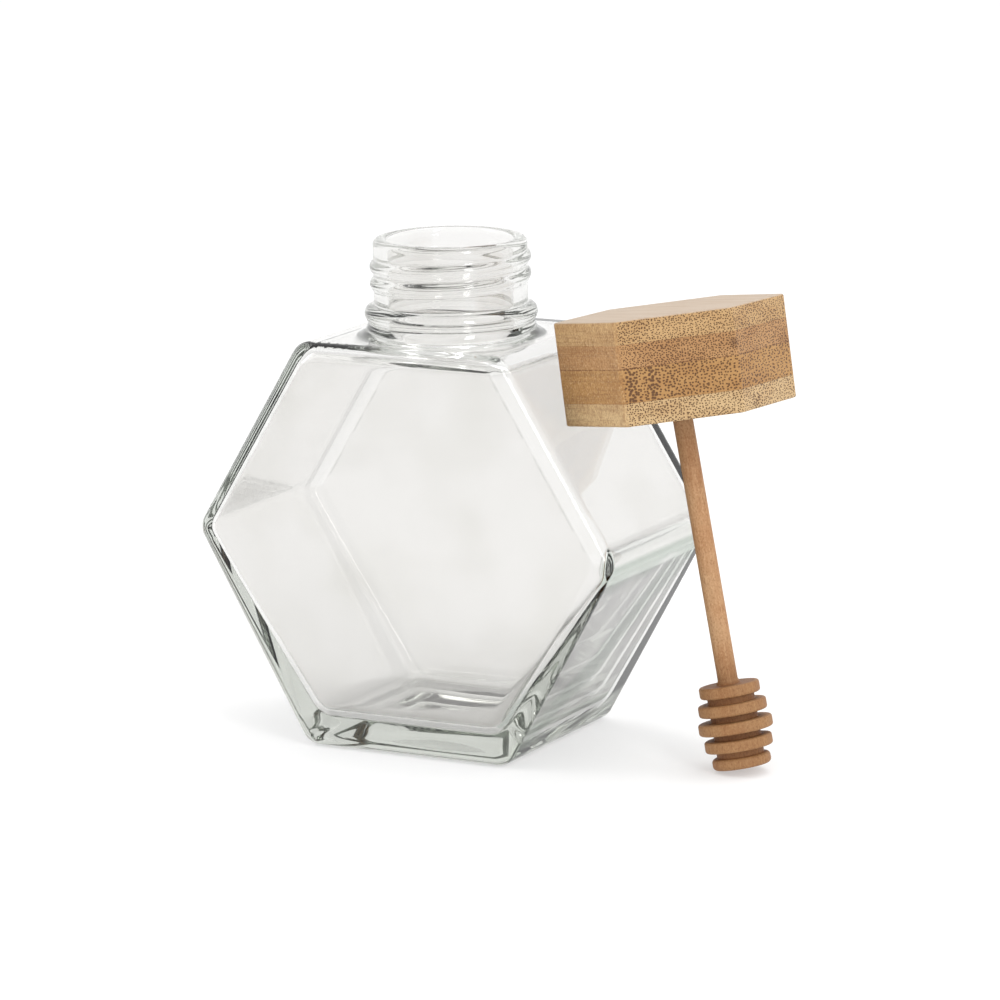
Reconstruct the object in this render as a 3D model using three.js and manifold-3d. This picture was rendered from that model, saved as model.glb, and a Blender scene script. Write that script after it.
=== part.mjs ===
// A hexagonal glass honey jar standing open, with its bamboo lid leaning against its sloping side.
// The lid carries a turned wooden dipper, whose ribbed head stands on the surface beside the jar.
// Units are millimetres, +Z is up, and the origin is the centre of the jar's base.
// The front of the jar faces -Y, and its six-sided outline lies in the XZ plane.

import * as THREE from 'three';
import { mergeVertices } from 'three/addons/utils/BufferGeometryUtils.js';
import Module from 'manifold-3d';

const wasm = await Module();
wasm.setup();

// Glass body: a six-sided block on its lower flat, seen face on from the front
const bodyHeight = 95;
const bodyDepth = 54.2;
const bodyWidth = 109.2;
const widestHeight = 49.6;
const topSide = 53.2;
const bottomSide = 52.4;
const bodyEdgeRadius = 3.5;
const bodyCornerRadius = 5;

// Cavity inside the body
const wallThickness = 3.5;
const floorThickness = 6;
const cavityEdgeRadius = 5;
const cavityCornerRadius = 8;

// Neck, from the shoulder up to the rim
const rimHeight = 117.2;
const neckRadius = 17.85;
const mouthRadius = 14.5;
const rimOuterRounding = 1.4;
const rimInnerRounding = 1;
const collarRadius = 19.3;
const shoulderFillet = 2.8;
const shoulderSink = 0.08;
const throatFlare = 3;
const beadHeight = 99.8;
const beadCentreRadius = 18;
const beadThickness = 4.1;

// Screw thread: two right-handed turns that start and end at the back
const threadPitch = 4;
const threadTurns = 2;
const threadStartHeight = 105.3;
const threadStand = 0.8;
const threadTubeRadius = 1.8;
const threadSink = 0.95;
const threadFadeTurns = 0.12;

// Lid: a six-sided bamboo block with a round recess under it
const lidRadius = 26.3;
const lidThickness = 23.6;
const lidCornerRadius = 1.4;
const lidBevel = 0.5;
const recessRadius = 19.3;
const recessDepth = 16.5;
const stickHoleDepth = 5;
const fitGap = 0.3;

// Dipper: stick and ribbed head turned in one, measured down from the lid's lower face
const stickRadius = 2.3;
const stickFlare = 0.5;
const headBottom = -81.6;
const discRadii = [7, 7.9, 8.6, 7.85, 6.75];
const discPitch = 4.11;
const discThickness = 2.62;
const discRounding = 0.9;
const grooveRadius = 5.7;

// Pose of the lid: turned about its own axis, then tipped and leaned towards the jar
const lidYaw = THREE.MathUtils.degToRad(29);
const lidTip = THREE.MathUtils.degToRad(-2.4);
const lidLean = THREE.MathUtils.degToRad(-8.6);
const lidCentreY = -1.9;
const dipperSideways = THREE.MathUtils.degToRad(-2.55);
const dipperBackwards = THREE.MathUtils.degToRad(-1.5);

// Fineness of the facets
const neckSides = 64;
const recessSides = 48;
const dipperSides = 40;
const threadStepsPerTurn = 32;
const threadSides = 10;
const cornerSteps = 3;
const edgeSteps = 4;
const filletSteps = 4;
const beadSteps = 7;
const roundingSteps = 3;
const lidSteps = 2;
const mergeDistance = 1e-4;

const glass = new THREE.MeshStandardMaterial({
  color: 0xdfe9e4, roughness: 0.05, metalness: 0, transparent: true, opacity: 0.35,
});
const bamboo = new THREE.MeshStandardMaterial({ color: 0xc59a63, roughness: 0.55, metalness: 0 });
const beech = new THREE.MeshStandardMaterial({ color: 0xc99a68, roughness: 0.6, metalness: 0 });

// A solid for joining and cutting, from a closed three.js geometry
function toSolid(geometry) {
  const bare = geometry.clone();
  bare.deleteAttribute('normal');
  bare.deleteAttribute('uv');
  const merged = mergeVertices(bare, mergeDistance);
  const index = merged.index.array;
  const kept = [];
  for (let i = 0; i < index.length; i += 3) {
    const [a, b, c] = [index[i], index[i + 1], index[i + 2]];
    if (a !== b && b !== c && c !== a) kept.push(a, b, c);
  }
  return new wasm.Manifold(new wasm.Mesh({
    numProp: 3,
    vertProperties: new Float32Array(merged.attributes.position.array),
    triVerts: new Uint32Array(kept),
  }));
}

// The solid's surface as a three.js geometry
function toGeometry(solid) {
  const mesh = solid.getMesh();
  const geometry = new THREE.BufferGeometry();
  geometry.setAttribute('position', new THREE.BufferAttribute(new Float32Array(mesh.vertProperties), 3));
  geometry.setIndex(new THREE.BufferAttribute(new Uint32Array(mesh.triVerts), 1));
  geometry.computeVertexNormals();
  return geometry;
}

// Moves each side of a counter-clockwise outline inwards by its own distance
function insetOutline(points, distances) {
  const sides = points.map((start, i) => {
    const along = points[(i + 1) % points.length].clone().sub(start).normalize();
    const inward = new THREE.Vector2(-along.y, along.x);
    return { start: start.clone().addScaledVector(inward, distances[i]), along };
  });
  return points.map((_, i) => {
    const before = sides[(i + points.length - 1) % points.length];
    const after = sides[i];
    const apart = after.start.clone().sub(before.start);
    const travel = apart.cross(after.along) / before.along.cross(after.along);
    return before.start.clone().addScaledVector(before.along, travel);
  });
}

// A closed shape with each corner of the outline rounded by an arc
function roundedShape(points, radius) {
  const shape = new THREE.Shape();
  points.forEach((corner, i) => {
    const toPrevious = points[(i + points.length - 1) % points.length].clone().sub(corner).normalize();
    const toNext = points[(i + 1) % points.length].clone().sub(corner).normalize();
    const halfAngle = Math.acos(THREE.MathUtils.clamp(toPrevious.dot(toNext), -1, 1)) / 2;
    const middle = toPrevious.clone().add(toNext).normalize();
    const centre = corner.clone().addScaledVector(middle, radius / Math.sin(halfAngle));
    const startAngle = Math.atan2(toPrevious.x, -toPrevious.y);
    const endAngle = startAngle + Math.PI - 2 * halfAngle;
    shape.absarc(centre.x, centre.y, radius, startAngle, endAngle, false);
  });
  return shape;
}

// A block of the outline's form with rounded corners and rounded front and back edges, centred on z = 0
function roundedBlock(points, depth, edgeRadius, cornerRadius, arcSteps, bevelSteps) {
  const inner = insetOutline(points, points.map(() => edgeRadius));
  const straight = depth - 2 * edgeRadius;
  const geometry = new THREE.ExtrudeGeometry(roundedShape(inner, cornerRadius - edgeRadius), {
    depth: straight,
    curveSegments: arcSteps,
    bevelEnabled: true,
    bevelSize: edgeRadius,
    bevelThickness: edgeRadius,
    bevelSegments: bevelSteps,
  });
  geometry.translate(0, 0, -straight / 2);
  return geometry;
}

// Points of an arc between two angles in degrees, as radius and height
function arcPoints(centreRadius, centreHeight, radius, fromDegrees, toDegrees, steps) {
  return Array.from({ length: steps + 1 }, (_, i) => {
    const angle = THREE.MathUtils.degToRad(fromDegrees + ((toDegrees - fromDegrees) * i) / steps);
    return new THREE.Vector2(centreRadius + radius * Math.cos(angle), centreHeight + radius * Math.sin(angle));
  });
}

// A profile of radius and height, running up from the axis and back to it, turned about +Z
function turned(profile, sides) {
  const geometry = new THREE.LatheGeometry(profile, sides);
  geometry.rotateX(Math.PI / 2);
  return geometry;
}

// The body's outline in the XZ plane, counter-clockwise from the lower right corner
const bodyOutline = [
  new THREE.Vector2(bottomSide / 2, 0),
  new THREE.Vector2(bodyWidth / 2, widestHeight),
  new THREE.Vector2(topSide / 2, bodyHeight),
  new THREE.Vector2(-topSide / 2, bodyHeight),
  new THREE.Vector2(-bodyWidth / 2, widestHeight),
  new THREE.Vector2(-bottomSide / 2, 0),
];

function bodySolid() {
  const block = roundedBlock(
    bodyOutline, bodyDepth, bodyEdgeRadius, bodyCornerRadius, cornerSteps, edgeSteps,
  );
  return toSolid(block.rotateX(Math.PI / 2));
}

function cavitySolid() {
  const wall = wallThickness;
  const outline = insetOutline(bodyOutline, [wall, wall, wall, wall, wall, floorThickness]);
  const depth = bodyDepth - 2 * wallThickness;
  const block = roundedBlock(
    outline, depth, cavityEdgeRadius, cavityCornerRadius, cornerSteps, edgeSteps,
  );
  return toSolid(block.rotateX(Math.PI / 2));
}

// Neck as a filled turning: shoulder fillet, collar, bead, wall and rounded rim
function neckSolid() {
  const rootHeight = bodyHeight - wallThickness;
  const filletCentre = collarRadius + shoulderFillet;
  const filletHeight = bodyHeight + shoulderFillet - shoulderSink;
  const beadRadius = beadThickness / 2;
  const beadStart = -THREE.MathUtils.radToDeg(Math.acos((collarRadius - beadCentreRadius) / beadRadius));
  const beadEnd = THREE.MathUtils.radToDeg(Math.acos((neckRadius - beadCentreRadius) / beadRadius));
  const rimCentre = neckRadius - rimOuterRounding;
  const rimArcHeight = rimHeight - rimOuterRounding;
  return toSolid(turned([
    new THREE.Vector2(0, rootHeight),
    new THREE.Vector2(filletCentre, rootHeight),
    ...arcPoints(filletCentre, filletHeight, shoulderFillet, 270, 180, filletSteps),
    ...arcPoints(beadCentreRadius, beadHeight, beadRadius, beadStart, beadEnd, beadSteps),
    ...arcPoints(rimCentre, rimArcHeight, rimOuterRounding, 0, 90, roundingSteps),
    new THREE.Vector2(0, rimHeight),
  ], neckSides));
}

// Bore through the neck, flared into the cavity below and rounded at the rim
function boreSolid() {
  const ceiling = bodyHeight - wallThickness;
  const flareCentre = mouthRadius + throatFlare;
  const rimCentre = mouthRadius + rimInnerRounding;
  const overshoot = 2;
  return toSolid(turned([
    new THREE.Vector2(0, ceiling - overshoot),
    new THREE.Vector2(flareCentre, ceiling - overshoot),
    ...arcPoints(flareCentre, ceiling + throatFlare, throatFlare, 270, 180, filletSteps),
    ...arcPoints(rimCentre, rimHeight - rimInnerRounding, rimInnerRounding, 180, 90, roundingSteps),
    new THREE.Vector2(rimCentre, rimHeight + overshoot),
    new THREE.Vector2(0, rimHeight + overshoot),
  ], neckSides));
}

// The middle line of the thread's round ridge, which sinks into the wall at both ends
class ThreadCurve extends THREE.Curve {
  getPoint(t, target = new THREE.Vector3()) {
    const turnsFromEnd = Math.min(t, 1 - t) * threadTurns;
    const sunk = 1 - THREE.MathUtils.smoothstep(turnsFromEnd, 0, threadFadeTurns);
    const radius = neckRadius + threadStand - threadTubeRadius - threadSink * sunk;
    const angle = Math.PI / 2 + t * threadTurns * 2 * Math.PI;
    const height = threadStartHeight + t * threadTurns * threadPitch;
    return target.set(radius * Math.cos(angle), radius * Math.sin(angle), height);
  }
}

function threadSolid() {
  const section = new THREE.Shape();
  section.absarc(0, 0, threadTubeRadius, 0, 2 * Math.PI, false);
  return toSolid(new THREE.ExtrudeGeometry(section, {
    extrudePath: new ThreadCurve(),
    steps: threadStepsPerTurn * threadTurns,
    curveSegments: threadSides / 2,
    bevelEnabled: false,
  }));
}

function makeJar() {
  const outside = bodySolid().add(neckSolid()).add(threadSolid());
  const jar = new THREE.Mesh(toGeometry(outside.subtract(cavitySolid()).subtract(boreSolid())), glass);
  jar.name = 'jar';
  return jar;
}

// Dipper: a bottom-to-top profile with five rounded discs, a flared foot to the stick and a plain end
function makeDipper() {
  const profile = [new THREE.Vector2(0, headBottom)];
  const upward = [...discRadii].reverse();
  upward.forEach((radius, i) => {
    const low = headBottom + i * discPitch;
    const rim = radius - discRounding;
    if (i > 0) profile.push(new THREE.Vector2(grooveRadius, low));
    profile.push(...arcPoints(rim, low + discRounding, discRounding, -90, 0, roundingSteps));
    profile.push(...arcPoints(rim, low + discThickness - discRounding, discRounding, 0, 90, roundingSteps));
    if (i < upward.length - 1) profile.push(new THREE.Vector2(grooveRadius, low + discThickness));
  });
  const headTop = headBottom + (upward.length - 1) * discPitch + discThickness;
  const stickTop = recessDepth + stickHoleDepth - fitGap;
  profile.push(
    new THREE.Vector2(stickRadius + stickFlare, headTop),
    new THREE.Vector2(stickRadius, headTop + 2 * stickFlare),
    new THREE.Vector2(stickRadius, stickTop),
    new THREE.Vector2(0, stickTop),
  );
  const dipper = new THREE.Mesh(toGeometry(toSolid(turned(profile, dipperSides))), beech);
  dipper.name = 'dipper';
  dipper.rotation.set(dipperBackwards, dipperSideways, 0);
  return dipper;
}

// Lid: the block less its recess and the blind hole that takes the stick, drilled at the stick's angle
function makeLid(dipper) {
  const hexagon = Array.from({ length: 6 }, (_, i) => {
    const angle = (i * Math.PI) / 3;
    return new THREE.Vector2(lidRadius * Math.cos(angle), lidRadius * Math.sin(angle));
  });
  const block = roundedBlock(hexagon, lidThickness, lidBevel, lidCornerRadius, lidSteps, lidSteps);
  block.translate(0, 0, lidThickness / 2);
  const recess = new THREE.CylinderGeometry(recessRadius, recessRadius, 2 * recessDepth, recessSides);
  recess.rotateX(Math.PI / 2);
  const holeLength = recessDepth + stickHoleDepth;
  const hole = new THREE.CylinderGeometry(stickRadius + fitGap, stickRadius + fitGap, holeLength, dipperSides);
  hole.rotateX(Math.PI / 2);
  hole.translate(0, 0, holeLength / 2);
  dipper.updateMatrix();
  hole.applyMatrix4(dipper.matrix);
  const solid = toSolid(block).subtract(toSolid(recess)).subtract(toSolid(hole));
  const lid = new THREE.Mesh(toGeometry(solid), bamboo);
  lid.name = 'lid';
  return lid;
}

// Smallest value of a measure over all the points of a mesh, in the part's own frame
function leastOver(mesh, measure) {
  const point = new THREE.Vector3();
  const places = mesh.geometry.attributes.position;
  let least = Infinity;
  for (let i = 0; i < places.count; i += 1) {
    point.fromBufferAttribute(places, i).applyMatrix4(mesh.matrixWorld);
    least = Math.min(least, measure(point));
  }
  return least;
}

// Stands the dipper's head on the ground and rests the lid's lower edge on the jar's right upper side
function leanOnJar(leaning, lid, dipper) {
  leaning.rotation.set(lidTip, lidLean, lidYaw, 'YXZ');
  leaning.position.set(0, lidCentreY, 0);
  leaning.updateMatrixWorld(true);
  leaning.position.z = -leastOver(dipper, (point) => point.z);
  leaning.updateMatrixWorld(true);
  const rise = bodyHeight - widestHeight;
  const run = (bodyWidth - topSide) / 2;
  const outward = new THREE.Vector3(rise, 0, run).normalize();
  const onSide = new THREE.Vector3(bodyWidth / 2, 0, widestHeight);
  const clearance = leastOver(lid, (point) => point.clone().sub(onSide).dot(outward));
  leaning.position.x = (fitGap - clearance) / outward.x;
}

const dipper = makeDipper();
const lid = makeLid(dipper);
const leaning = new THREE.Group();
leaning.add(lid, dipper);
leanOnJar(leaning, lid, dipper);

const honeyPot = new THREE.Group();
honeyPot.add(makeJar(), leaning);

export default honeyPot;
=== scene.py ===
# An open six-sided glass honey jar. Its bamboo lid leans on the jar's sloping side, and the lid's
# turned dipper stands on the floor beside it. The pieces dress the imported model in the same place.
# Lengths in the tables are millimetres, angles are degrees and colours are sRGB from 0 to 255. In the
# looks, a Reach is where a pattern starts and where it is full, and a Share of three numbers adds the
# most that it shows.

import math

import bpy
import numpy as np
from mathutils import Matrix, Vector


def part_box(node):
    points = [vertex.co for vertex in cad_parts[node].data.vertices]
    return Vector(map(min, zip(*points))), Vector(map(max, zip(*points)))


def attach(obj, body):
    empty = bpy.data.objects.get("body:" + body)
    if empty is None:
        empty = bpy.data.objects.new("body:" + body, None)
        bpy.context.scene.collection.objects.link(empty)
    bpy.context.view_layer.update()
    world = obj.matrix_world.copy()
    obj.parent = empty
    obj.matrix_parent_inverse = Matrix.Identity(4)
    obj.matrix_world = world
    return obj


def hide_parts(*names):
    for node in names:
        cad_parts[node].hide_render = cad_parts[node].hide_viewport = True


mm = 0.001
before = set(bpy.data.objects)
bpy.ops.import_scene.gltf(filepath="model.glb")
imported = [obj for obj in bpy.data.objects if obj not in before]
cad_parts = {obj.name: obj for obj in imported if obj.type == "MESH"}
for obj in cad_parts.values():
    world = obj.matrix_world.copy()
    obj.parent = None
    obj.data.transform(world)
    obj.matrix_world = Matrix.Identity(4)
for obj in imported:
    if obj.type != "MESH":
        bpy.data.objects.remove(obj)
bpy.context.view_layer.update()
print("frame loaded:", ", ".join(sorted(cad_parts)))


def paint(red, paintedGreenShade, blue):  # sRGB 0 to 255 as the linear colour that a socket takes
    shares = np.array([red, paintedGreenShade, blue]) / 255
    linear = np.where(shares <= 0.04045, shares / 12.92, ((shares + 0.055) / 1.055) ** 2.4)
    return (*[float(value) for value in linear], 1.0)


class Wire:  # one node's output; arithmetic on it adds Math nodes
    def __init__(self, shader, socket):
        self.shader = shader
        self.socket = socket

    def maths(self, operation, *values):
        return self.shader.node("ShaderNodeMath", {"operation": operation}, dict(enumerate(values)))

    def __add__(self, other):
        return self.maths("ADD", self, other)

    def __sub__(self, other):
        return self.maths("SUBTRACT", self, other)

    def __rsub__(self, other):
        return self.maths("SUBTRACT", other, self)

    def __mul__(self, other):
        return self.maths("MULTIPLY", self, other)

    def __truediv__(self, other):
        return self.maths("DIVIDE", self, other)

    def __pow__(self, other):
        return self.maths("POWER", self, other)

    def __abs__(self):
        return self.maths("ABSOLUTE", self)

    __radd__ = __add__
    __rmul__ = __mul__

    def ramp(self, low, high):  # 0 up to low, 1 from high on, smooth between; low may be above high
        return self.shader.node(
            "ShaderNodeMapRange",
            {"interpolation_type": "SMOOTHSTEP"},
            {"Value": self, "From Min": low, "From Max": high},
        )

    def share(self, low, high, most):  # a ramp that ends at the most that is wanted
        return self.ramp(low, high) * most


class Shader:  # one node tree, emptied
    def __init__(self, tree):
        self.tree = tree
        tree.nodes.clear()

    # Any node: its type, its settings, and the values or links of its sockets
    def node(self, kind, settings=None, inputs=None, output=0):
        made = self.tree.nodes.new(kind)
        for name, value in (settings or {}).items():
            setattr(made, name, value)
        for name, value in (inputs or {}).items():
            if isinstance(value, Wire):
                self.tree.links.new(value.socket, made.inputs[name])
            else:
                made.inputs[name].default_value = value
        return Wire(self, made.outputs[output]) if made.outputs else None

    # Object coordinates in a piece's own frame, in millimetres
    def place(self, turn=None, middle=(0, 0, 0)):
        angles = turn.to_euler("XYZ") if turn else (0, 0, 0)
        return self.node(
            "ShaderNodeMapping",
            {"vector_type": "TEXTURE"},
            {
                "Vector": self.node("ShaderNodeTexCoord", output="Object"),
                "Location": middle,
                "Rotation": angles,
                "Scale": (mm, mm, mm),
            },
        )

    def parts(self, vector):  # a vector's x, y and z
        split = self.node("ShaderNodeSeparateXYZ", None, {"Vector": vector})
        return [Wire(self, socket) for socket in split.socket.node.outputs]

    def joined(self, x, y, z):
        return self.node("ShaderNodeCombineXYZ", None, {"X": x, "Y": y, "Z": z})

    def noise(self, vector, perMillimetre, detail=2.0, roughness=0.5):
        return self.node(
            "ShaderNodeTexNoise",
            {"noise_dimensions": "3D"},
            {
                "Vector": vector,
                "Scale": perMillimetre,
                "Detail": detail,
                "Roughness": roughness,
            },
        )

    # A noise from a recipe: its stretch along each of three ways, then noise's own values
    def stretched(self, ways, recipe):
        stretches, *values = recipe
        places = [way * stretch for way, stretch in zip(ways, stretches)]
        return self.noise(self.joined(*places), *values)

    # Two colours by a share from 0 to 1
    def mix(self, share, first, second, blend="MIX"):
        return self.node(
            "ShaderNodeMix",
            {"data_type": "RGBA", "blend_type": blend},
            {0: share, 6: first, 7: second},
            output=2,
        )

    def shaded(self, tone, shade):  # a colour multiplied by a table's colour
        return self.mix(1.0, tone, paint(*shade), "MULTIPLY")

    def bump(self, height, distance, under=None):
        inputs = {"Height": height, "Distance": distance * mm, "Strength": 1.0}
        if under:
            inputs["Normal"] = under
        return self.node("ShaderNodeBump", None, inputs)


def newFinish(name):
    material = bpy.data.materials.new(name)
    material.use_nodes = True
    return material, Shader(material.node_tree)


# Heights or shares in even steps: each stop is (end, steps), and the first stop is the start
def spread(*stops):
    pieces = [np.array([stops[0][0]])]
    for (start, _), (end, steps) in zip(stops, stops[1:]):
        pieces.append(np.linspace(start, end, steps + 1)[1:])
    return np.concatenate(pieces)


def unitCircle(angle):  # x and y at each angle
    return np.stack([np.cos(angle), np.sin(angle)], axis=-1)


def arc(centreRadius, centreHeight, radius, fromAngle, toAngle, steps=24):  # points as (radius, height)
    angle = np.radians(np.linspace(fromAngle, toAngle, steps + 1))
    return np.array([centreRadius, centreHeight]) + radius * unitCircle(angle)


def atHeights(rings, heights):  # rings of x and y, each with its height added
    heights = np.broadcast_to(np.reshape(heights, (-1, 1, 1)), (*rings.shape[:2], 1))
    return np.concatenate([rings, heights], axis=-1)


# A profile in even steps, each point the bell-shaped average of those near it
def softened(profile, spacing, softness):
    lengths = np.r_[0, np.cumsum(np.hypot(*np.diff(profile, axis=0).T))]
    count = int(round(lengths[-1] / spacing))
    along = np.linspace(0, lengths[-1], count + 1)
    even = np.stack([np.interp(along, lengths, profile[:, i]) for i in (0, 1)], axis=1)
    reach = int(np.ceil(3 * softness / spacing))
    bell = np.exp(-0.5 * (np.arange(-reach, reach + 1) * spacing / softness) ** 2)
    padded = np.pad(even, ((reach, reach), (0, 0)), mode="reflect", reflect_type="odd")
    bell /= bell.sum()
    return np.stack([np.convolve(padded[:, i], bell, mode="valid") for i in (0, 1)], axis=1)


# Moves each side of a counter-clockwise outline inwards by its distance
def inset(outline, distances):
    following = np.roll(outline, -1, axis=0)
    along = (following - outline) / np.linalg.norm(following - outline, axis=1, keepdims=True)
    inward = np.stack([-along[:, 1], along[:, 0]], axis=1)
    start = outline + inward * np.reshape(distances, (-1, 1))
    before, beforeAlong = np.roll(start, 1, axis=0), np.roll(along, 1, axis=0)
    apart = start - before
    travel = (apart[:, 0] * along[:, 1] - apart[:, 1] * along[:, 0]) / (
        beforeAlong[:, 0] * along[:, 1] - beforeAlong[:, 1] * along[:, 0]
    )
    return before + beforeAlong * travel[:, None]


# The point of a convex outline's area that is nearest to each point
def nearestInside(points, outline):
    best = np.zeros_like(points)
    least = np.full(points.shape[:-1], np.inf)
    inside = np.ones(points.shape[:-1], bool)
    for start, end in zip(outline, np.roll(outline, -1, axis=0)):
        side = end - start
        apart = points - start
        inside &= side[0] * apart[..., 1] - side[1] * apart[..., 0] >= 0
        share = np.clip(apart @ side / (side @ side), 0, 1)
        near = start + share[..., None] * side
        distance = np.linalg.norm(points - near, axis=-1)
        best = np.where((distance < least)[..., None], near, best)
        least = np.minimum(least, distance)
    return np.where(inside[..., None], points, best)


# A sharp block's surface points moved onto the rounded block. The rounded block is a smaller core
# grown by the edge radius, so each point goes to its nearest core point plus that radius along the
# line between. Every row of points has its own edge and corner radius.
def roundedBlock(flat, across, outline, halfDepth, edgeRadii, cornerRadii):
    rows = []
    for flatRow, acrossRow, edge, corner in zip(flat, across, edgeRadii, cornerRadii):
        corner = max(corner, edge)
        near = nearestInside(flatRow, inset(outline, np.full(len(outline), corner)))
        away = flatRow - near
        length = np.linalg.norm(away, axis=-1, keepdims=True)
        core = near + away * np.minimum(length, corner - edge) / np.maximum(length, 1e-9)
        coreAcross = np.clip(acrossRow, edge - halfDepth, halfDepth - edge)
        outward = np.concatenate([flatRow - core, (acrossRow - coreAcross)[:, None]], axis=-1)
        outward /= np.linalg.norm(outward, axis=-1, keepdims=True)
        rows.append((np.concatenate([core, coreAcross[:, None]], axis=-1) + edge * outward, outward))
    return [np.stack(part) for part in zip(*rows)]


# Places along one side of a ring: a column's place is share x (half length - margin) + edge x margin.
# The columns crowd at both ends, at the tangents of even angles, so a rounded corner gets even facets.
def sideColumns(count, crowded):
    lean = np.tan(np.linspace(np.pi / 4, 0, crowded + 1))[:-1]
    middle = np.linspace(-1, 1, count - 2 * crowded + 1)
    share = np.concatenate([-np.ones(crowded), middle, np.ones(crowded - 1)])
    edge = np.concatenate([-lean, np.zeros(len(middle)), lean[:0:-1]])
    return share, edge


# Puts a surface into a mesh: rows of points that each run round a ring, closed by a point at both ends
def addPiece(name, rows, firstPole, lastPole, material, normals=None):
    count, columns = rows.shape[:2]
    points = np.concatenate([rows.reshape(-1, 3), [firstPole], [lastPole]])
    ring = np.arange(count * columns).reshape(count, columns)
    ahead = np.roll(ring, -1, axis=1)
    quads = np.stack([ring[:-1], ahead[:-1], ahead[1:], ring[1:]], axis=-1).reshape(-1, 4)
    first = np.stack([np.full(columns, count * columns), ahead[0], ring[0]], axis=-1)
    last = np.stack([np.full(columns, count * columns + 1), ring[-1], ahead[-1]], axis=-1)
    mesh = bpy.data.meshes.new(name)
    mesh.from_pydata(points.tolist(), [], quads.tolist() + first.tolist() + last.tolist())
    mesh.shade_smooth()
    if normals is not None:
        mesh.normals_split_custom_set_from_vertices(normals.tolist())
    mesh.materials.append(material)
    piece = bpy.data.objects.new(name, mesh)
    bpy.context.scene.collection.objects.link(piece)
    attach(piece, "root")
    print("piece:", name, len(mesh.polygons), "faces")
    return piece


# Glass jar

jarSizes = {
    "bodyHeight": 95,
    "bodyDepth": 54.2,
    "bodyWidth": 109.2,
    "widestHeight": 49.6,
    "topSide": 53.2,
    "bottomSide": 52.4,
    "edgeRadius": 3.5,
    "cornerRadius": 5,
    "frontWall": 3,
    "lowerWall": 5.2,
    "upperWall": 2.2,
    "ceiling": 2.6,
    "floor": 6.5,
    "cavityEdgeRadii": ((6.5, 4.5), (14, 4), (38, 2), (92, 2.2)),  # (height, radius)
    "leftCornerRadii": ((16, 7), (34, 4), (66, 4), (84, 6)),  # of the cavity, as are the next ones
    "rightCornerRadii": ((16, 7), (34, 9.5), (66, 9.5), (84, 6)),
    "rimHeight": 117.2,
    "neckRadius": 17.85,
    "mouthRadius": 14.5,
    "rimOuterRounding": 1.4,
    "rimInnerRounding": 1,
    "collarRadius": 19.3,
    "shoulderFillet": 2.8,
    "throatFlare": 1.2,
    "beadHeight": 99.8,
    "beadCentreRadius": 18,
    "beadThickness": 4.1,
    "threadPitch": 4,
    "threadTurns": 2,
    "threadStart": 105.3,
    "threadStand": 0.8,
    "threadTube": 1.8,
    "threadSink": 0.95,
    "threadFade": 0.12,  # turns
    "threadBlend": 0.5,
    "baseHollow": 0.9,
    "sideColumns": 52,
    "crowdedColumns": 9,
    "inwardRows": ((0.94, 0), (0.3, 6), (0.0, 16)),  # (share of the way in, steps)
    "edgeReach": 5,  # rows crowd within these reaches of the base, the widest height and the top
    "widestReach": 4.1,
    "innerReaches": (6, 18),  # the same for the cavity
    "innerLow": 14,
    "innerHigh": 80,
    "hollowReach": 21,
    "neckSpacing": 0.3,
    "neckSoftness": 0.28,
}


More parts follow.
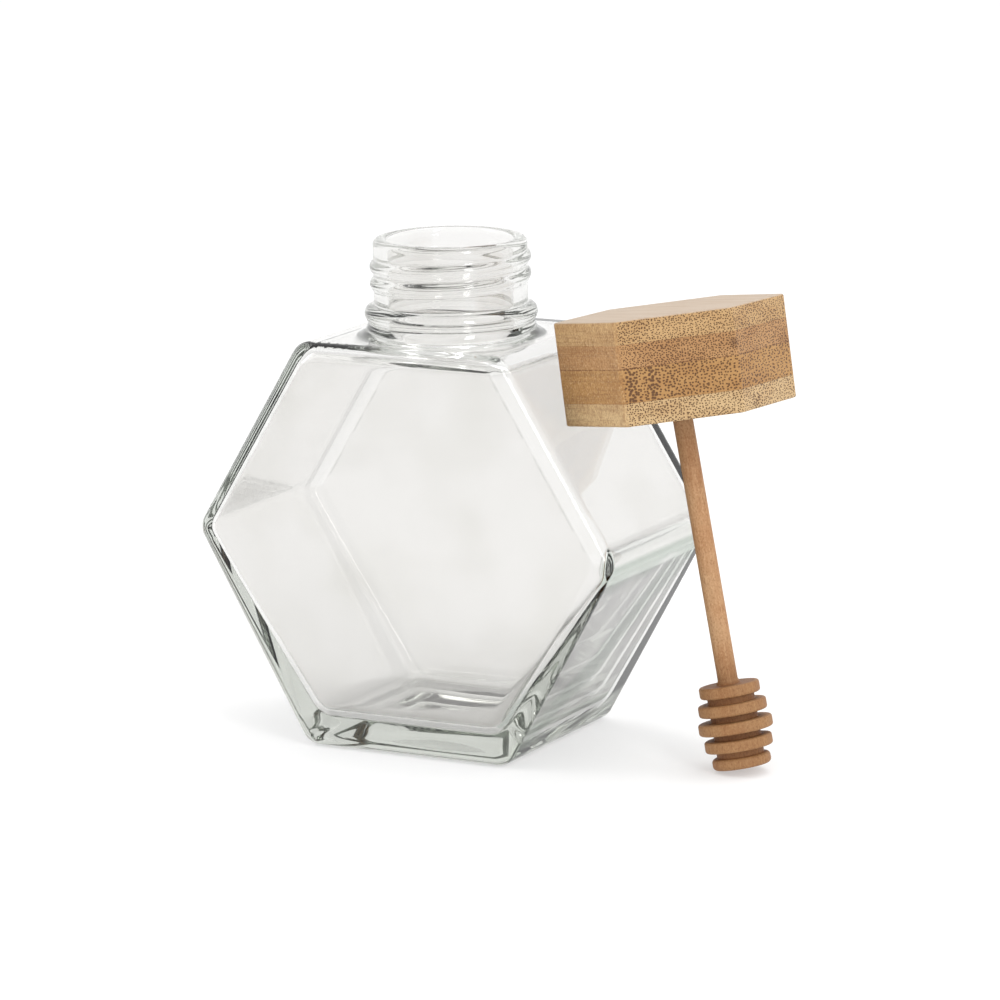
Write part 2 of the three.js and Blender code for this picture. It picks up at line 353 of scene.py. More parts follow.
# The jar is one surface from the base's centre up the outside, over the rim and down the inside to the
# floor's centre. Every row is a ring: a rectangle on the body, a circle on the neck, and between them
# the share of the way from one to the other.
def jarPiece(size, material):
    count = 4 * size["sideColumns"]
    angle = np.pi / 4 + 2 * np.pi * np.arange(count) / count
    circle = unitCircle(angle)
    share, edge = sideColumns(size["sideColumns"], size["crowdedColumns"])
    halfDepth = size["bodyDepth"] / 2
    halfWidest = size["bodyWidth"] / 2
    widest = size["widestHeight"]
    outline = np.array([
        [size["bottomSide"] / 2, 0],
        [halfWidest, widest],
        [size["topSide"] / 2, size["bodyHeight"]],
        [-size["topSide"] / 2, size["bodyHeight"]],
        [-halfWidest, widest],
        [-size["bottomSide"] / 2, 0],
    ])
    walls = ["lowerWall", "upperWall", "ceiling", "upperWall", "lowerWall", "floor"]
    cavityOutline = inset(outline, [size[wall] for wall in walls])
    thinOutline = inset(outline, [size["upperWall"]] * len(outline))
    cavityOutline[[1, 4]] = thinOutline[[1, 4]]  # the lower walls thin towards the widest height
    ceiling = size["bodyHeight"] - size["ceiling"]
    broad = cavityOutline[1, 1]

    def rectangle(halfWidth, halfLength, margin):  # rings of x and y, one for each half width
        halfWidth = np.reshape(halfWidth, (-1, 1))
        flatX = share * (halfWidth - margin) + edge * margin
        flatY = np.broadcast_to(share * (halfLength - margin) + edge * margin, flatX.shape)
        sideX = np.broadcast_to(halfWidth, flatX.shape)
        sideY = np.full(flatX.shape, halfLength)
        x = np.concatenate([-flatX, -sideX, flatX, sideX], axis=1)
        y = np.concatenate([sideY, -flatY, -sideY, flatY], axis=1)
        return np.stack([x, y], axis=-1)

    slope = np.hypot(1, (halfWidest - size["topSide"] / 2) / (size["bodyHeight"] - widest))

    # One shell, outside or inside: rows in over the base, up the sides, and in over the top to a circle
    def block(corners, halfLength, edgeRadii, cornerRadii, throat, heights, inward):
        right = corners[:3]
        margin = max(radius for _, radius in edgeRadii) * slope
        low, high = right[0], right[2]
        base = rectangle(low[0], halfLength, margin)[0]
        top = rectangle(high[0], halfLength, margin)[0]
        shrink = 1 - inward
        baseRows = atHeights(base * shrink[:, None, None], low[1])
        halfWidths = np.interp(heights, right[:, 1], right[:, 0])
        sideRows = atHeights(rectangle(halfWidths, halfLength, margin), heights)
        way = inward[::-1] / inward.max()
        topRows = atHeights(top + (circle * throat - top) * way[:, None, None], high[1])
        sharp = np.concatenate([baseRows, sideRows, topRows])
        levels = sharp[:, 0, 2]
        edges, roundings = [np.interp(levels, *zip(*radii)) for radii in (edgeRadii, cornerRadii)]
        rounded, outward = roundedBlock(
            sharp[..., [0, 2]], sharp[..., 1], corners, halfLength, edges, roundings
        )
        return rounded[..., [0, 2, 1]], outward[..., [0, 2, 1]]

    inward = spread(*size["inwardRows"])[:-1]
    outerHeights = spread(
        (0, 0),
        (size["edgeReach"], 10),
        (widest - size["widestReach"], 12),
        (widest + size["widestReach"], 18),
        (size["bodyHeight"] - size["edgeReach"], 12),
        (size["bodyHeight"], 10),
    )
    near, far = size["innerReaches"]
    innerHeights = spread(
        (size["floor"], 0),
        (size["innerLow"], 14),
        (broad - far, 7),
        (broad - near, 8),
        (broad + near, 30),
        (broad + far, 8),
        (size["innerHigh"], 6),
        (ceiling, 17),
    )
    outerCircle = size["collarRadius"] + size["shoulderFillet"]
    innerCircle = size["mouthRadius"] + size["throatFlare"]
    outer, outerNormals = block(
        outline,
        halfDepth,
        [(0, size["edgeRadius"])],
        [(0, size["cornerRadius"])],
        outerCircle,
        outerHeights,
        inward,
    )
    innerLeft, innerRight = [
        block(
            cavityOutline,
            halfDepth - size["frontWall"],
            size["cavityEdgeRadii"],
            size[radii],
            innerCircle,
            innerHeights,
            inward,
        )[0]
        for radii in ("leftCornerRadii", "rightCornerRadii")
    ]
    # The glass is thicker in the right corner
    inner = np.where(innerLeft[..., :1] < 0, innerLeft, innerRight)

    # The base is pushed up a little: a smooth rise that is full at the middle and gone at the edge
    closeness = np.clip(1 - np.hypot(outer[..., 0], outer[..., 1]) / size["hollowReach"], 0, 1)
    atBase = outer[..., 2] < size["floor"]
    outer[..., 2] += atBase * size["baseHollow"] * closeness**2 * (3 - 2 * closeness)

    fillet, flare = size["shoulderFillet"], size["throatFlare"]
    outerRounding, innerRounding = size["rimOuterRounding"], size["rimInnerRounding"]
    beadRadius = size["beadThickness"] / 2
    beadStart = -math.degrees(math.acos((size["collarRadius"] - size["beadCentreRadius"]) / beadRadius))
    beadEnd = math.degrees(math.acos((size["neckRadius"] - size["beadCentreRadius"]) / beadRadius))
    profile = softened(
        np.concatenate([
            arc(outerCircle, size["bodyHeight"] + fillet, fillet, 270, 180),
            arc(size["beadCentreRadius"], size["beadHeight"], beadRadius, beadStart, beadEnd),
            arc(
                size["neckRadius"] - outerRounding,
                size["rimHeight"] - outerRounding,
                outerRounding,
                0,
                90,
            ),
            arc(
                size["mouthRadius"] + innerRounding,
                size["rimHeight"] - innerRounding,
                innerRounding,
                90,
                180,
            ),
            arc(innerCircle, ceiling + flare, flare, 180, 270),
        ]),
        size["neckSpacing"],
        size["neckSoftness"],
    )

    # The thread stands out where a round ridge passes: at angle A the ridge's middle is at the start
    # height plus pitch x turns since the back, and the ridge is a circle's cap, blended into the wall
    def threadRise(height):
        turnsHere = ((angle - np.pi / 2) / (2 * np.pi)) % 1
        rise = np.zeros((len(height), count))
        for whole in range(size["threadTurns"]):
            turns = turnsHere + whole
            fromEnd = np.clip(np.minimum(turns, size["threadTurns"] - turns) / size["threadFade"], 0, 1)
            sunk = size["threadSink"] * (1 - fromEnd**2 * (3 - 2 * fromEnd))
            apart = height[:, None] - size["threadStart"] - size["threadPitch"] * turns
            cap = np.sqrt(np.maximum(size["threadTube"] ** 2 - apart**2, 0))
            level = cap - (size["threadTube"] - size["threadStand"]) - sunk
            blend = size["threadBlend"]
            bridged = np.maximum(blend - np.abs(level), 0) ** 2 / (4 * blend)
            rise = np.maximum(rise, np.maximum(level, 0) + bridged)
        return np.minimum(rise, size["threadStand"])

    outside = np.arange(len(profile)) < np.argmax(profile[:, 1])
    rise = np.where(outside[:, None], threadRise(profile[:, 1]), 0)
    radii = profile[:, :1] + rise
    neck = atHeights(radii[..., None] * circle, profile[:, 1])
    rows = np.concatenate([outer[:-1], neck, inner[::-1][1:]])
    normals = np.concatenate([outerNormals[:-1], np.zeros_like(neck), np.zeros_like(inner[1:])])
    # A zero normal leaves the shading to the surface itself, as on the hollow base and the neck
    normals[: len(inward)][rows[: len(inward), :, 2] < size["baseHollow"] + 0.01] = 0
    poles = np.array([[0, 0, size["baseHollow"]], [0, 0, size["floor"]]])
    normals = np.concatenate([normals.reshape(-1, 3), np.zeros((2, 3))])
    return addPiece("glassJar", rows * mm, poles[0] * mm, poles[1] * mm, material, normals)


glassLook = {
    "tint": (241, 240, 239),
    "smudgeTint": (236, 235, 233),
    "smudgeSize": 22,
    "smudgeReach": (0.45, 0.75),
    # painted highlight: the bright strip along the sloping upper edges
    "paintedLightStripTint": (255, 255, 255),
    "stripWidth": 3.6,
    "stripDepth": 2.6,
    "stripBlur": 0.3,
    "stripStart": (-0.5, 1),  # above the widest height
    # painted shade: the thin broken dark line beside the bright strip
    "paintedShadeBorderTint": (210, 210, 208),
    "borderGap": 0.45,
    "borderReach": (0.4, 0.1),
    "borderDepth": (1.0, 0.4),
    "borderStart": (2, 5),  # above the widest height
    "borderEnd": (94, 88),
    "borderBreaks": (0.3, 0.6),
    # painted grey-green shade on the right lower side, here and in the band below
    "paintedGreenShadeTint": (158, 172, 160),
    "greenReach": (11, 6),
    "greenWaver": 12,
    "greenStart": (0.0, 1.5),  # below the widest height
    "greenRight": (0, 5),
    "greenSide": (0.8, 0.4),
    "greenFace": (0.5, 4),
    "bandSlant": 1.06,
    "bandWaver": 0.25,
    "bandMiddle": 0.98,
    "bandShare": (0.2, 0.06, 0.8),
    "indexOfRefraction": 1.5,
    "roughness": 0.0,
    "absorbed": (196, 202, 193),
    "absorption": 19,  # per metre
    "waveSize": 14,
    "waveHeight": 0.035,
    "rippleSize": 4.5,
}


# The glass carries painted light and shade. A painted bright strip, light that the rounded edge
# carries, runs along the four sloping upper edges, with a thin broken line of painted shade beside it.
# Painted grey-green shade lies on the right lower side in two places: just under the widest height,
# down to a border that wavers, and along a band that climbs from the base in front to the widest height
# behind.
def glassFinish(look, size):
    material, shader = newFinish("pressedGlass")
    place = shader.place()
    x, y, z = shader.parts(place)
    widest = size["widestHeight"]
    halfWidth = size["bodyWidth"] / 2
    smudges = shader.noise(place, 1 / look["smudgeSize"], 1, 0.6).ramp(*look["smudgeReach"])
    waves = shader.noise(place, 1 / look["waveSize"], 0)
    ripples = shader.noise(place, 1 / look["rippleSize"], 1)
    fromFace = size["bodyDepth"] / 2 - abs(y)

    # How far in from a sloping side a point lies, by the height from where the jar is widest
    def fromSlope(height, side, rise):
        lean = halfWidth - side / 2
        length = math.hypot(lean, rise)
        return (halfWidth - abs(x)) * (rise / length) - height * (lean / length)

    above = z - widest
    fromSide = fromSlope(above, size["topSide"], size["bodyHeight"] - widest)
    # Painted highlight: a bright strip in from the sloping upper sides and the faces
    blur = look["stripBlur"]
    paintedLightStrip = fromSide.ramp(look["stripWidth"] + blur, look["stripWidth"] - blur)
    paintedLightStrip = paintedLightStrip * fromFace.ramp(look["stripDepth"] + blur, look["stripDepth"] - blur)
    paintedLightStrip = paintedLightStrip * above.ramp(*look["stripStart"])
    # Painted shade: a thin broken dark line beside the bright strip
    paintedShadeBorder = abs(fromSide - (look["stripWidth"] + look["borderGap"])).ramp(*look["borderReach"])
    paintedShadeBorder = paintedShadeBorder * fromFace.ramp(*look["borderDepth"]) * ripples.ramp(*look["borderBreaks"])
    paintedShadeBorder = paintedShadeBorder * above.ramp(*look["borderStart"]) * z.ramp(*look["borderEnd"])

    # Painted grey-green shade on the right lower side: under the widest height and along a climbing
    # band
    below = widest - z
    fromLowSide = fromSlope(below, size["bottomSide"], widest)
    paintedGreenShade = (below + (waves - 0.5) * look["greenWaver"]).ramp(*look["greenReach"])
    slant = below / widest + (y / size["bodyDepth"] + 0.5) * look["bandSlant"]
    slant = slant + (waves - 0.5) * look["bandWaver"]
    paintedShadeBand = abs(slant - look["bandMiddle"]).share(*look["bandShare"])
    paintedGreenShade = paintedGreenShade.maths("MAXIMUM", paintedGreenShade, paintedShadeBand) * below.ramp(*look["greenStart"])
    paintedGreenShade = paintedGreenShade * x.ramp(*look["greenRight"]) * fromLowSide.ramp(*look["greenSide"])
    paintedGreenShade = paintedGreenShade * fromFace.ramp(*look["greenFace"])

    tint = paint(*look["tint"])
    # The smudges are the glass's own; the strip, its border and the green are painted light and shade
    for mask, name in ((smudges, "smudge"), (paintedLightStrip, "paintedLightStrip"), (paintedShadeBorder, "paintedShadeBorder"), (paintedGreenShade, "paintedGreenShade")):
        tint = shader.mix(mask, tint, paint(*look[name + "Tint"]))
    surface = shader.node("ShaderNodeBsdfPrincipled", None, {
        "Base Color": tint,
        "Roughness": look["roughness"],
        "IOR": look["indexOfRefraction"],
        "Transmission Weight": 1.0,
        "Normal": shader.bump(waves, look["waveHeight"]),
    })
    inside = shader.node("ShaderNodeVolumeAbsorption", None, {
        "Color": paint(*look["absorbed"]),
        "Density": look["absorption"],
    })
    shader.node("ShaderNodeOutputMaterial", None, {"Surface": surface, "Volume": inside})
    return material


jar = jarPiece(jarSizes, glassFinish(glassLook, jarSizes))
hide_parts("jar")


# Bamboo lid

lidSizes = {
    "radius": 26.285,
    "thickness": 23.6,
    "cornerRadius": 1.4,
    "edgeRadius": 0.5,
    "recessRadius": 19.3,
    "recessDepth": 16.5,
    "recessChamfer": 0.4,
    "holeRadius": 2.6,
    "holeDepth": 5,
    "yaw": 29,
    "tip": -2.4,
    "lean": -8.6,
    "sideColumns": 44,
    "crowdedColumns": 8,
    "crowdedReach": 1.6,
    "edgeReach": 1.2,  # rows crowd this near to the lower and upper edges
}
dipperTurn = {"backwards": -1.5, "sideways": -2.55}

lidTurn = (
    Matrix.Rotation(math.radians(lidSizes["lean"]), 3, "Y")
    @ Matrix.Rotation(math.radians(lidSizes["tip"]), 3, "X")
    @ Matrix.Rotation(math.radians(lidSizes["yaw"]), 3, "Z")
)
stickTurn = lidTurn @ (
    Matrix.Rotation(math.radians(dipperTurn["backwards"]), 3, "X")
    @ Matrix.Rotation(math.radians(dipperTurn["sideways"]), 3, "Y")
)
lidMiddle = sum((Vector(corner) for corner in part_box("lid")), Vector()) / 2
# The centre of the lid's lower face
lidUnder = lidMiddle - lidTurn @ Vector((0, 0, lidSizes["thickness"] / 2 * mm))


def placed(points, turn, middle):  # from a piece's own millimetres to the frame's metres
    return points @ np.array(turn).T * mm + np.array(middle)


# The lid is one surface from the blind hole's end down through the hole and the recess, out over the
# lower face, up the six sides and in over the top
def lidPiece(size, material):
    columns = size["sideColumns"]
    count = 6 * columns
    circle = unitCircle(2 * np.pi * np.arange(count) / count)
    hexagon = size["radius"] * unitCircle(np.radians(60 * np.arange(6)))
    share, edge = sideColumns(columns, size["crowdedColumns"])
    places = share * (size["radius"] / 2 - size["crowdedReach"]) + edge * size["crowdedReach"]
    following = np.roll(hexagon, -1, axis=0)
    middles = (hexagon + following) / 2
    along = (following - hexagon) / size["radius"]
    ring = (middles[:, None, :] + along[:, None, :] * places[:, None]).reshape(-1, 2)
    half = size["thickness"] / 2
    straight = half - size["edgeReach"]

    inward = spread((0.94, 0), (0.12, 8), (0.0, 14))[:-1]
    heights = spread((-half, 0), (-straight, 6), (straight, 10), (half, 6))
    lower = size["recessRadius"] + size["recessChamfer"]
    way = spread((0, 0), (0.75, 5), (1, 14))[:-1]
    under = lower * circle + (ring - lower * circle) * way[:, None, None]
    sides = np.broadcast_to(ring, (len(heights), count, 2))
    top = ring * (1 - inward[::-1])[:, None, None]
    flat = np.concatenate([under, sides, top])
    levels = np.concatenate([np.full(len(under), -half), heights, np.full(len(top), half)])
    across = np.broadcast_to(levels[:, None], flat.shape[:2])
    edges, corners = [np.full(len(flat), size[name]) for name in ("edgeRadius", "cornerRadius")]
    rounded, outward = roundedBlock(flat, across, hexagon, half, edges, corners)
    rounded[..., 2] += half

    deep = size["recessDepth"]
    end = deep + size["holeDepth"]
    axis = np.array(stickTurn.col[2]) @ np.array(lidTurn)
    lean = axis[:2] / axis[2]
    # Rows as (height, share of the radius), close together beside each corner so that it stays crisp
    hole = np.array([(end, 0.5), (end, 0.97), (end - 0.05, 1), (deep + 0.1, 1), (deep + 0.02, 1.04)])
    holeRings = lean * hole[:, None, :1] + size["holeRadius"] * hole[:, None, 1:] * circle
    chamfer = size["recessChamfer"]
    recess = np.array([
        (deep, 0.4),
        (deep, 0.7),
        (deep, 0.97),
        (deep, 0.997),
        (deep - 0.04, 1),
        (deep - 0.5, 1),
        (deep / 2, 1),
        (chamfer + 0.1, 1),
        (chamfer, 1),
        (0.02, 1 + 0.95 * chamfer / size["recessRadius"]),
    ])
    recessRings = size["recessRadius"] * recess[:, None, 1:] * circle
    holeRows, recessRows = atHeights(holeRings, hole[:, 0]), atHeights(recessRings, recess[:, 0])
    rows = np.concatenate([holeRows, recessRows, rounded])
    normals = np.concatenate([np.zeros_like(holeRows), np.zeros_like(recessRows), outward])
    normals = normals.reshape(-1, 3) @ np.array(lidTurn).T
    normals = np.concatenate([normals, np.zeros((2, 3))])
    first = np.array([*(lean * end), end])
    last = np.array([0, 0, size["thickness"]])
    return addPiece(
        "bambooLid",
        placed(rows, lidTurn, lidUnder),
        placed(first, lidTurn, lidUnder),
        placed(last, lidTurn, lidUnder),
        material,
        normals,
    )


bambooLook = {
    "grainAngle": 120,  # the fibres' direction in the lid's own frame
    "layerTops": (5.2, 12.87, 18.25),  # heights of the glue lines above the lower face
    "layerTones": ((215, 186, 140), (190, 147, 91), (192, 149, 100), (206, 171, 121)),
    "layerBlur": 0.06,
    "noises": {  # stretch along, across and up, then scale per millimetre, detail and roughness
        "waver": ((0.02, 0.08, 0), 1.0, 1),
        "fine": ((0.06, 1, 1), 2.6, 3, 0.6),
        "patches": ((0.03, 0.12, 0.3), 1.0, 2),
        "wander": ((0.05, 0.1, 0.1), 1.0, 1),
        "marks": ((0.5, 0.5, 0.2), 3.2, 2, 0.6),
        "speckle": ((0.8, 0.8, 0.45), 4.6, 2, 0.6),
        "streaks": ((0.05, 1.6, 1), 1.0, 3, 0.55),
    },
    "waverHeight": 0.12,
    "wanderReach": 2.0,
    "dotTone": (80, 46, 20),
    "dotShare": 0.9,
    "dotSpacing": (0.5, 0.64, 0.48, 0.5),
    "dotRadius": (0.137, 0.174, 0.131, 0.134),
    "dotDisorder": 0.8,
    "dotGrowth": (0.7, 0.65, 0.5),  # with the patches, everywhere, and in the cluster
    "dotBlur": (1.3, 0.7),  # shares of the radius: where a dot ends, and how softly
    "farPacking": 0.62,  # the dots stand wider apart on one half
    "layerShift": 37.0,  # each layer reads its dots at another height
    "coarseLayer": 1,
    "coarseShare": (11, 17, 0.1),
    "columnSpacing": 1.6,
    "clusterPlace": (-5.65, 1.8),  # across the fibres and up
    "clusterReach": (2.4, 0.8),
    "sawnReach": (0.9, 0.2),  # in from the faces along the fibres
    "sawnDots": 0.85,
    "fineShade": (205, 190, 175),
    "fineContrast": 0.9,
    "patchShade": (214, 190, 160),
    "patchShare": (0.35, 0.7, 0.35),
    "markTone": (140, 98, 58),
    "markShare": (0.5, 0.66, 0.5),
    "darkSpeckle": (126, 84, 48),
    "darkShare": (0.5, 0.64, 0.45),
    "paleSpeckle": (232, 206, 160),
    "paleShare": (0.46, 0.3, 0.35),
    "glueTone": (120, 78, 42),
    "seamReach": (0.2, 0.06),
    "seamShares": (0.3, 1.0, 0.4),
    "breakShare": (0.35, 0.6, 0.7),
    "breakStretch": 0.9,
    "leastSeam": 0.2,
    "smudgePlace": (0, 15.8),  # across the fibres and up
    "smudgeWaver": 2.4,
    "smudgeShare": (2.9, 1.5, 0.55),
    "smudgeEnd": (-15, -18),  # along the fibres
    "topReach": (0.35, 0.05),
    # the top face: paler and greyer, partly its sanded wood and partly a painted sheen of the light
    # from above
    "paleTopAndPaintedSheen": (187, 170, 152),
    "topStreak": (173, 152, 130),
    "streakReach": (0.35, 0.7),
    "paleTopAndSheenShare": 0.9,
    "dotDepth": 0.12,
    "grainDepth": 0.04,
    "roughness": (0.45, 0.2),  # least, and what the fine pattern adds
    "specular": 0.4,
}


# The fibres run one way through all four layers. Across them each bundle shows as a dark dot, at the
# middle of each cell of a flat pattern. Along them the sawn face shows fine short marks. A dot's radius
# is that of its layer, times a growth that varies from place to place.
def bambooFinish(look, size):
    material, shader = newFinish("laminatedBamboo")
    x, y, z = shader.parts(shader.place(lidTurn, lidUnder))
    turn = math.radians(look["grainAngle"])
    along = x * math.cos(turn) + y * math.sin(turn)
    across = y * math.cos(turn) - x * math.sin(turn)
    recipes = look["noises"].items()
    noises = {name: shader.stretched((along, across, z), recipe) for name, recipe in recipes}
    fine = noises["fine"]

    def distance(place):  # from a line along the fibres
        apartAcross, apartUp = across - place[0], z - place[1]
        return (apartAcross * apartAcross + apartUp * apartUp) ** 0.5

    cluster = distance(look["clusterPlace"]).ramp(*look["clusterReach"])
    columns = across.maths("SINE", across * look["columnSpacing"]) + 1.0
    far = look["farPacking"]
    packed = across * ((1 + far) / 2) + abs(across) * ((1 - far) / 2)
    packed = packed + noises["wander"] * look["wanderReach"]
    withPatches, everywhere, inCluster = look["dotGrowth"]
    growth = noises["patches"] * withPatches + everywhere + cluster * inCluster

    def layerDots(layer):  # a dot at the middle of each cell, as far out as its radius
        scale = 1 / look["dotSpacing"][layer]
        up = (z + look["layerShift"] * (layer + 1)) * scale
        cells = shader.node(
            "ShaderNodeTexVoronoi",
            {"voronoi_dimensions": "2D", "feature": "F1"},
            {
                "Vector": shader.joined(packed * scale, up, 0.0),
                "Scale": 1.0,
                "Randomness": look["dotDisorder"],
            },
        )
        radius = look["dotRadius"][layer] * scale * growth
        if layer == look["coarseLayer"]:
            radius = radius + across.share(*look["coarseShare"]) * columns
        end, soft = look["dotBlur"]
        return (radius * end - cells).ramp(0.0, radius * soft)

    height = z + (noises["waver"] * 2 - 1) * look["waverHeight"]
    tone, dots, seams = paint(*look["layerTones"][0]), layerDots(0), 0.0
    for i, top in enumerate(look["layerTops"]):
        step = height.ramp(top - look["layerBlur"], top + look["layerBlur"])
        tone = shader.mix(step, tone, paint(*look["layerTones"][i + 1]))
        dots = dots + step * (layerDots(i + 1) - dots)
        seams = seams + abs(height - top).share(*look["seamReach"], look["seamShares"][i])

    apothem = size["radius"] * math.cos(math.radians(30))
    sawnAlong = abs(across).ramp(*[apothem - reach for reach in look["sawnReach"]])
    onTop = z.ramp(*[size["thickness"] - reach for reach in look["topReach"]])
    dots = dots * (1 - sawnAlong * look["sawnDots"]) * (1 - onTop)

    pale = (fine - 0.5) * look["fineContrast"] + 0.5
    tone = shader.mix(pale, shader.shaded(tone, look["fineShade"]), tone)
    patches = noises["patches"].share(*look["patchShare"])
    tone = shader.mix(patches, tone, shader.shaded(tone, look["patchShade"]))
    sawnLayers = (
        ("marks", "markShare", "markTone"),
        ("speckle", "darkShare", "darkSpeckle"),
        ("speckle", "paleShare", "paleSpeckle"),
    )
    for name, share, colour in sawnLayers:
        mask = noises[name].share(*look[share]) * sawnAlong
        tone = shader.mix(mask, tone, paint(*look[colour]))
    stretch = look["breakStretch"]
    breaks = shader.noise(shader.joined(across * stretch, along * stretch, 0.0), 1.0, 2)
    seams = seams * (breaks.share(*look["breakShare"]) + look["leastSeam"])
    tone = shader.mix(seams, tone, paint(*look["glueTone"]))
    tone = shader.mix(dots * look["dotShare"], tone, paint(*look["dotTone"]))
    smudge = (distance(look["smudgePlace"]) + fine * look["smudgeWaver"]).share(*look["smudgeShare"])
    tone = shader.mix(smudge * along.ramp(*look["smudgeEnd"]), tone, paint(*look["dotTone"]))
    # The top face is paler and greyer, streaked along the fibres: partly its sanded wood and partly a
    # painted sheen of the light from above
    streaks = noises["streaks"].ramp(*look["streakReach"])
    paleTopWithPaintedSheen = shader.mix(streaks, paint(*look["paleTopAndPaintedSheen"]), paint(*look["topStreak"]))
    tone = shader.mix(onTop * look["paleTopAndSheenShare"], tone, paleTopWithPaintedSheen)

    relief = shader.bump(fine, look["grainDepth"])
    relief = shader.bump(dots * -1.0, look["dotDepth"], under=relief)
    surface = shader.node("ShaderNodeBsdfPrincipled", None, {
        "Base Color": tone,
        "Roughness": fine * look["roughness"][1] + look["roughness"][0],
        "Specular IOR Level": look["specular"],
        "Normal": relief,
    })
    shader.node("ShaderNodeOutputMaterial", None, {"Surface": surface})
    return material


lid = lidPiece(lidSizes, bambooFinish(bambooLook, lidSizes))
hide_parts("lid")


# Turned dipper

dipperSizes = {
    "stickRadius": 2.3,
    "stickFlare": 0.5,
    "headBottom": -81.6,
    "footTrim": 0.036,
    "discRadii": (6.92, 7.82, 8.48, 7.76, 6.69),
    "discPitch": 4.11,
    "discThickness": 2.62,
    "discRounding": 0.55,
    "footRounding": 0.92,
    "grooveRadius": 5.4,
    "stickTop": 21.2,
    "stickChamfer": 0.3,
    "poleRadius": 0.4,
    "columns": 120,
    "spacing": 0.16,
    "softness": 0.1,
}


# The dipper is a profile of radius and height turned about its stick: five discs with rounded rims, a
# groove under each, and a foot that flares where the stick meets the top disc
def dipperPiece(size, material):
    circle = unitCircle(2 * np.pi * np.arange(size["columns"]) / size["columns"])
    parts = []
    for i, radius in enumerate(reversed(size["discRadii"])):
        low = size["headBottom"] + i * size["discPitch"]
        rounding = size["discRounding"] if i else size["footRounding"]
        high = low + size["discThickness"]
        parts += [
            [[size["grooveRadius"] if i else size["poleRadius"], low]],
            arc(radius - rounding, low + rounding, rounding, -90, 0),
            arc(radius - rounding, high - rounding, rounding, 0, 90),
            [[size["grooveRadius"], high]],
        ]
    parts[-1] = [[size["stickRadius"] + size["stickFlare"], high]]
    parts.append([
        [size["stickRadius"], high + 2 * size["stickFlare"]],
        [size["stickRadius"], size["stickTop"] - size["stickChamfer"]],
        [size["stickRadius"] - size["stickChamfer"], size["stickTop"]],
        [size["poleRadius"], size["stickTop"]],
    ])
    profile = softened(np.concatenate(parts), size["spacing"], size["softness"])
    foot = size["headBottom"] + size["footTrim"]
    profile[:, 1] = np.maximum(profile[:, 1], foot)
    return addPiece(
        "turnedDipper",
        placed(atHeights(profile[:, None, :1] * circle, profile[:, 1]), stickTurn, lidUnder),
        placed(np.array([0, 0, foot]), stickTurn, lidUnder),
        placed(np.array([0, 0, size["stickTop"]]), stickTurn, lidUnder),
        material,
    )


woodLook = {
    "grain": ((1, 1, 0.12), 1.9, 3, 0.6),  # stretch, scale per millimetre, detail and roughness
    "flecks": ((1, 1, 0.7), 2.6, 2, 0.6),
    "clouds": ((0.4, 0.4, 0.3), 0.28, 2),
    "tone": (180, 141, 102),
    "warmTone": (170, 125, 85),
    "cloudReach": (0.35, 0.65),
    "paleTone": (204, 166, 126),
    "paleShare": (0.4, 0.75, 0.5),
    "paleFleckShare": (0.46, 0.3, 0.45),
    "fleckTone": (134, 92, 58),
    "fleckShare": (0.52, 0.68, 0.5),
    # painted shade on the head, a painted shadow of the lid on the stick's top, and painted shade in
    # the grooves
    "headShade": (214, 202, 184),
    "headReach": (-48.5, -64.5),
    "topShade": (236, 228, 220),
    "topReach": (-24, -8),
    "grooveShade": (222, 206, 190),
    "grooveReach": (6.5, 5.6),
    "grooveTop": (-61.5, -62.5),
    "roughness": (0.5, 0.2),  # least, and what the grain adds
    "specular": 0.35,
    "grainDepth": 0.05,
}


# Plain beech with a fine upright grain and short flecks. Painted shade darkens the head and its
# grooves, and a painted shadow of the lid darkens the stick where it goes into the lid
def woodFinish(look):
    material, shader = newFinish("turnedBeech")
    x, y, z = shader.parts(shader.place(stickTurn, lidUnder))
    grain, flecks, clouds = [
        shader.stretched((x, y, z), look[name]) for name in ("grain", "flecks", "clouds")
    ]
    clouds = clouds.ramp(*look["cloudReach"])
    tone = shader.mix(clouds, paint(*look["warmTone"]), paint(*look["tone"]))
    tone = shader.mix(grain.share(*look["paleShare"]), tone, paint(*look["paleTone"]))
    tone = shader.mix(flecks.share(*look["fleckShare"]), tone, paint(*look["fleckTone"]))
    tone = shader.mix(flecks.share(*look["paleFleckShare"]), tone, paint(*look["paleTone"]))
    # Painted shade on the head and in the grooves, and a painted shadow of the lid where the stick goes
    # into it
    fromAxis = (x * x + y * y) ** 0.5
    paintedGrooveShade = fromAxis.ramp(*look["grooveReach"]) * z.ramp(*look["grooveTop"])
    paintedHeadShade, paintedLidShadow = z.ramp(*look["headReach"]), z.ramp(*look["topReach"])
    for mask, name in ((paintedHeadShade, "head"), (paintedLidShadow, "top"), (paintedGrooveShade, "groove")):
        tone = shader.mix(mask, tone, shader.shaded(tone, look[name + "Shade"]))
    surface = shader.node("ShaderNodeBsdfPrincipled", None, {
        "Base Color": tone,
        "Roughness": grain * look["roughness"][1] + look["roughness"][0],
        "Specular IOR Level": look["specular"],
        "Normal": shader.bump(grain, look["grainDepth"]),
    })
    shader.node("ShaderNodeOutputMaterial", None, {"Surface": surface})
    return material


dipper = dipperPiece(dipperSizes, woodFinish(woodLook))
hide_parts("dipper")


# Studio

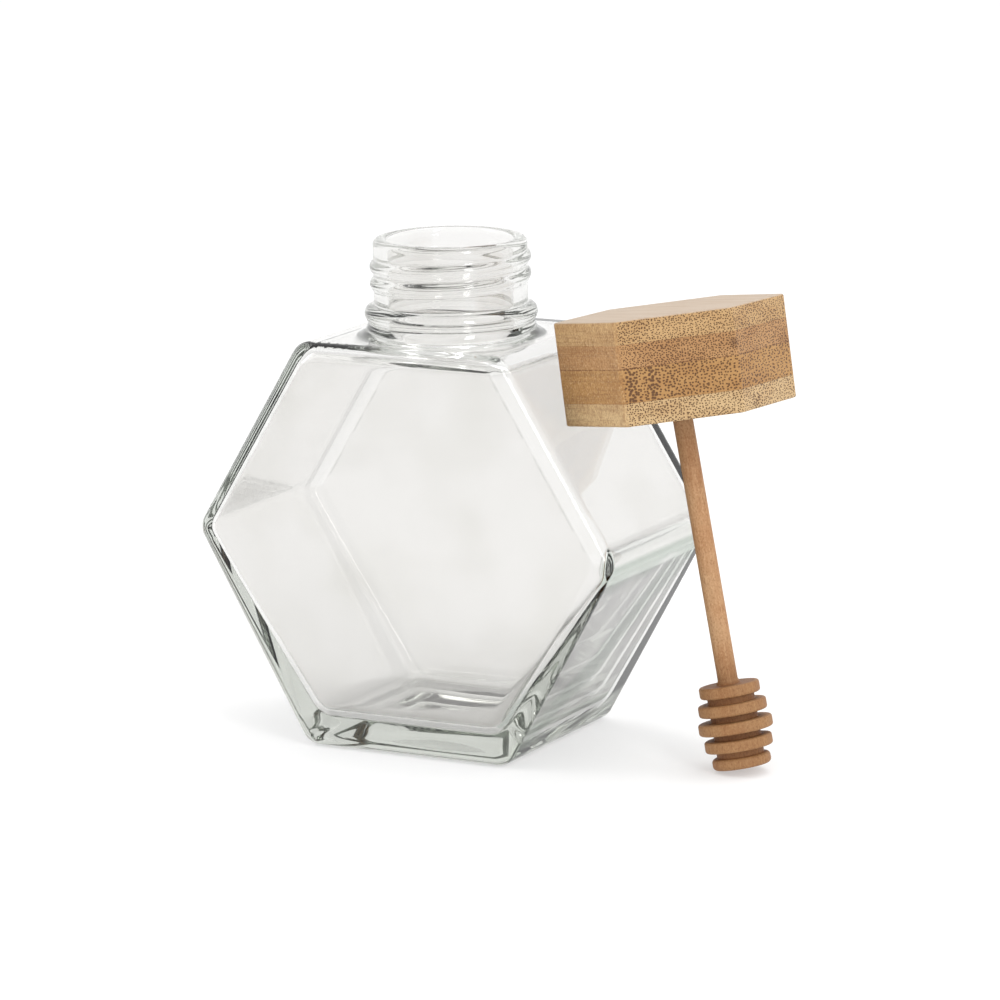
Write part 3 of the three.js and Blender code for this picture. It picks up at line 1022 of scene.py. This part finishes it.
studio = {
    "floorHalf": 6000,
    "floorDrop": 0.15,
    "floorTone": (200, 200, 200),
    "floorSpeck": (197, 197, 197),
    "floorGlow": 0.43,  # the floor is lit from below, so that the glass throws a faint shadow
    "skyLow": (255, 255, 255),
    "skyHigh": (232, 232, 232),
    "skyReach": (0.0, 0.9),  # upwards, as the sine of the elevation
    "skyStrength": 1.2,
    "behindCamera": 0.9,
    "behindReach": (-0.1, 0.9),
    "lampTarget": 55,
    "lamps": (  # azimuth, elevation, distance, width, height, watts
        (55, 29, 1100, 220, 700, 3.4),
        (-60, 40, 1300, 500, 700, 2.4),
        (150, 72, 1200, 700, 700, 3.0),
    ),
}
cameraPlace = {
    "azimuth": 28.454,
    "elevation": 11.811,
    "roll": -0.974,
    "distance": 1236.208,
    "target": (11.94, 0, 56.319),
    "focalPixels": 5348.949,
    "imagePixels": 1000,
    "sensorWidth": 36,
    "nearest": 0.05,  # metres
    "farthest": 50,
}
lightBounces = 14  # light turns often inside the thick corners


def towards(azimuth, elevation):  # the unit vector from the object to a place round it
    a, e = math.radians(azimuth), math.radians(elevation)
    return Vector((math.sin(a) * math.cos(e), -math.cos(a) * math.cos(e), math.sin(e)))


def addStudio(look, camera):
    half, level = look["floorHalf"] * mm, -look["floorDrop"] * mm
    corners = [(x * half, y * half, level) for x, y in ((-1, -1), (1, -1), (1, 1), (-1, 1))]
    mesh = bpy.data.meshes.new("studioFloor")
    mesh.from_pydata(corners, [], [(0, 1, 2, 3)])
    floor = bpy.data.objects.new("studioFloor", mesh)
    bpy.context.scene.collection.objects.link(floor)
    material, shader = newFinish("paleFloor")
    speckle = shader.noise(shader.place(), 0.05, 2)
    surface = shader.node("ShaderNodeBsdfPrincipled", None, {
        "Base Color": shader.mix(speckle, paint(*look["floorTone"]), paint(*look["floorSpeck"])),
        "Roughness": 0.9,
        "Specular IOR Level": 0.1,
        "Emission Color": (1.0, 1.0, 1.0, 1.0),
        "Emission Strength": look["floorGlow"],
    })
    shader.node("ShaderNodeOutputMaterial", None, {"Surface": surface})
    mesh.materials.append(material)

    world = bpy.data.worlds.new("softTent")
    bpy.context.scene.world = world
    world.use_nodes = True
    sky = Shader(world.node_tree)
    direction = sky.node("ShaderNodeTexCoord", output="Generated")
    up = sky.parts(direction)[2]
    back = towards(camera["azimuth"], camera["elevation"])
    facing = sky.node(
        "ShaderNodeVectorMath",
        {"operation": "DOT_PRODUCT"},
        {0: direction, 1: back},
        output="Value",
    )
    tone = sky.mix(up.ramp(*look["skyReach"]), paint(*look["skyLow"]), paint(*look["skyHigh"]))
    dimmed = facing.ramp(*look["behindReach"]) * (1 - look["behindCamera"])
    strength = look["skyStrength"] * (1 - dimmed)
    light = sky.node("ShaderNodeBackground", None, {"Color": tone, "Strength": strength})
    sky.node("ShaderNodeOutputWorld", None, {"Surface": light})

    middle = Vector((0, 0, look["lampTarget"] * mm))
    for i, (azimuth, elevation, distance, width, height, watts) in enumerate(look["lamps"]):
        lamp = bpy.data.lights.new(f"softbox{i + 1}", "AREA")
        lamp.shape = "RECTANGLE"
        lamp.size, lamp.size_y = width * mm, height * mm
        lamp.energy = watts
        holder = bpy.data.objects.new(lamp.name, lamp)
        out = towards(azimuth, elevation)
        holder.location = middle + out * distance * mm
        holder.rotation_euler = out.to_track_quat("Z", "Y").to_euler()
        bpy.context.scene.collection.objects.link(holder)
    print("studio: floor, world and", len(look["lamps"]), "soft lights")


def addCamera(camera):
    back = towards(camera["azimuth"], camera["elevation"])
    right = (-back).cross(Vector((0, 0, 1))).normalized()
    up = right.cross(-back)
    roll = math.radians(camera["roll"])
    rolledRight = right * math.cos(roll) + up * math.sin(roll)
    rolledUp = up * math.cos(roll) - right * math.sin(roll)
    data = bpy.data.cameras.new("photographView")
    data.sensor_width = camera["sensorWidth"]
    data.lens = camera["focalPixels"] * data.sensor_width / camera["imagePixels"]
    data.clip_start, data.clip_end = camera["nearest"], camera["farthest"]
    holder = bpy.data.objects.new("photographView", data)
    holder.matrix_world = Matrix.Translation(
        Vector(camera["target"]) * mm + back * camera["distance"] * mm
    ) @ Matrix((rolledRight, rolledUp, back)).transposed().to_4x4()
    bpy.context.scene.collection.objects.link(holder)
    bpy.context.scene.camera = holder


addStudio(studio, cameraPlace)
addCamera(cameraPlace)
bpy.context.scene.view_settings.view_transform = "Standard"
cycles = bpy.context.scene.cycles
cycles.max_bounces = lightBounces
cycles.glossy_bounces = lightBounces
cycles.transmission_bounces = lightBounces
